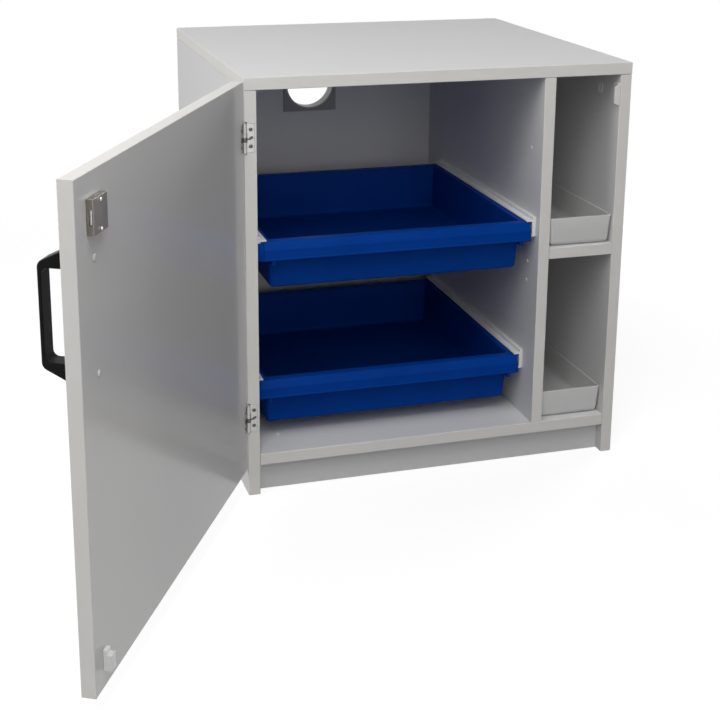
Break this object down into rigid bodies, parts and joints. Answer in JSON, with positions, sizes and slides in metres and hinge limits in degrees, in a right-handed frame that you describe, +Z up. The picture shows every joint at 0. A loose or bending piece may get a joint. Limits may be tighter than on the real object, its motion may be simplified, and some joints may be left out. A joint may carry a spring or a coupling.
{
  "type": "acid storage cabinet",
  "caption": "Low white board cabinet with a hinged lockable door, sliding spill trays on runners beside a narrow bay of drip bins, and a round vent through the back.",
  "frame": {"origin": "middle of the plinth board's underside, on the floor", "axes": "+Z up, +Y from the open front to the back, +X towards the narrow bay; the door hangs on the -X side"},
  "size_m": [0.9231, 1.0769, 0.635],
  "materials": {
    "faced_board": "white melamine facing on chipboard, grey edge strip",
    "door_board": "white melamine facing on chipboard, grey edge strip",
    "white_plastic": "smooth",
    "runner_plastic": "smooth",
    "vent_plastic": "smooth",
    "vent_plate_plastic": "fine grain",
    "tray_plastic": "fine moulded grain",
    "bin_plastic": "fine moulded grain",
    "handle_plastic": "fine moulded grain",
    "hinge_steel": "nickel plated",
    "dark_steel": "blackened",
    "bright_steel": "zinc plated",
    "lock_metal": "nickel plated"
  },
  "bodies": {
    "carcass": {"top_panel": "faced_board", "left_side_panel": "faced_board", "right_side_panel": "faced_board", "bottom_panel": "faced_board", "back_panel": "faced_board", "divider_panel": "faced_board", "bay_shelf": "faced_board", "plinth_board": "faced_board", "cam_cap_left_front": "white_plastic", "cam_cap_left_back": "white_plastic", "cam_cap_right_front": "white_plastic", "cam_cap_right_back": "white_plastic", "cam_cap_bottom_front": "white_plastic", "cam_cap_bottom_back": "white_plastic", "hole_plug_low": "white_plastic", "hole_plug_middle": "white_plastic", "hole_plug_high": "white_plastic", "shelf_pin_divider_front": "bright_steel", "shelf_pin_divider_back": "bright_steel", "shelf_pin_right_front": "bright_steel", "shelf_pin_right_back": "bright_steel", "upper_left_runner": "runner_plastic", "upper_right_runner": "runner_plastic", "lower_left_runner": "runner_plastic", "lower_right_runner": "runner_plastic", "upper_hinge_frame_leaf": "hinge_steel", "lower_hinge_frame_leaf": "hinge_steel", "upper_hinge_pin": "hinge_steel", "lower_hinge_pin": "hinge_steel", "upper_hinge_link": "dark_steel", "lower_hinge_link": "dark_steel", "upper_hinge_frame_screw_low": "dark_steel", "upper_hinge_frame_screw_high": "dark_steel", "lower_hinge_frame_screw_low": "dark_steel", "lower_hinge_frame_screw_high": "dark_steel", "lock_keeper": "white_plastic", "vent_plate": "vent_plate_plastic", "vent_spigot": "vent_plastic"},
    "door": {"door_panel": "door_board", "door_handle": "handle_plastic", "lock_case": "lock_metal", "lock_cylinder": "lock_metal", "door_catch": "white_plastic", "handle_screw_low": "white_plastic", "handle_screw_high": "white_plastic", "upper_hinge_door_leaf": "hinge_steel", "lower_hinge_door_leaf": "hinge_steel", "upper_hinge_door_screw_low": "dark_steel", "upper_hinge_door_screw_high": "dark_steel", "lower_hinge_door_screw_low": "dark_steel", "lower_hinge_door_screw_high": "dark_steel", "lock_case_screw_low": "bright_steel", "lock_case_screw_high": "bright_steel"},
    "lock_plug": {"lock_plug": "lock_metal"},
    "lock_bolt": {"lock_bolt": "bright_steel"},
    "upper_tray": {"upper_tray": "tray_plastic"},
    "lower_tray": {"lower_tray": "tray_plastic"},
    "upper_bin": {"upper_bin": "bin_plastic"},
    "lower_bin": {"lower_bin": "bin_plastic"}
  },
  "joints": [
    {"name": "door_hinge", "type": "hinge", "parent": "carcass", "child": "door", "pos_m": [-0.3, -0.028, 0.337], "axis": [0, 0, -1], "range_deg": [-118.5, 51.5]},
    {"name": "lock_turn", "type": "hinge", "parent": "door", "child": "lock_plug", "pos_m": [-0.5638, -0.51176, 0.584], "axis": [0.8788, -0.4772, 0], "range_deg": [0, 90]},
    {"name": "bolt_slide", "type": "slide", "parent": "door", "child": "lock_bolt", "axis": [-0.4772, -0.8788, 0], "range_m": [0, 0.00848]},
    {"name": "upper_tray_slide", "type": "slide", "parent": "carcass", "child": "upper_tray", "axis": [0, -1, 0], "range_m": [0, 0.35]},
    {"name": "lower_tray_slide", "type": "slide", "parent": "carcass", "child": "lower_tray", "axis": [0, -1, 0], "range_m": [0, 0.35]},
    {"name": "upper_bin_slide", "type": "slide", "parent": "carcass", "child": "upper_bin", "axis": [0, -1, 0], "range_m": [0, 0.38]},
    {"name": "lower_bin_slide", "type": "slide", "parent": "carcass", "child": "lower_bin", "axis": [0, -1, 0], "range_m": [0, 0.38]}
  ],
  "couplings": [
    {"joint": "lock_turn", "follows": "bolt_slide", "rad_per_m": 185.1}
  ]
}
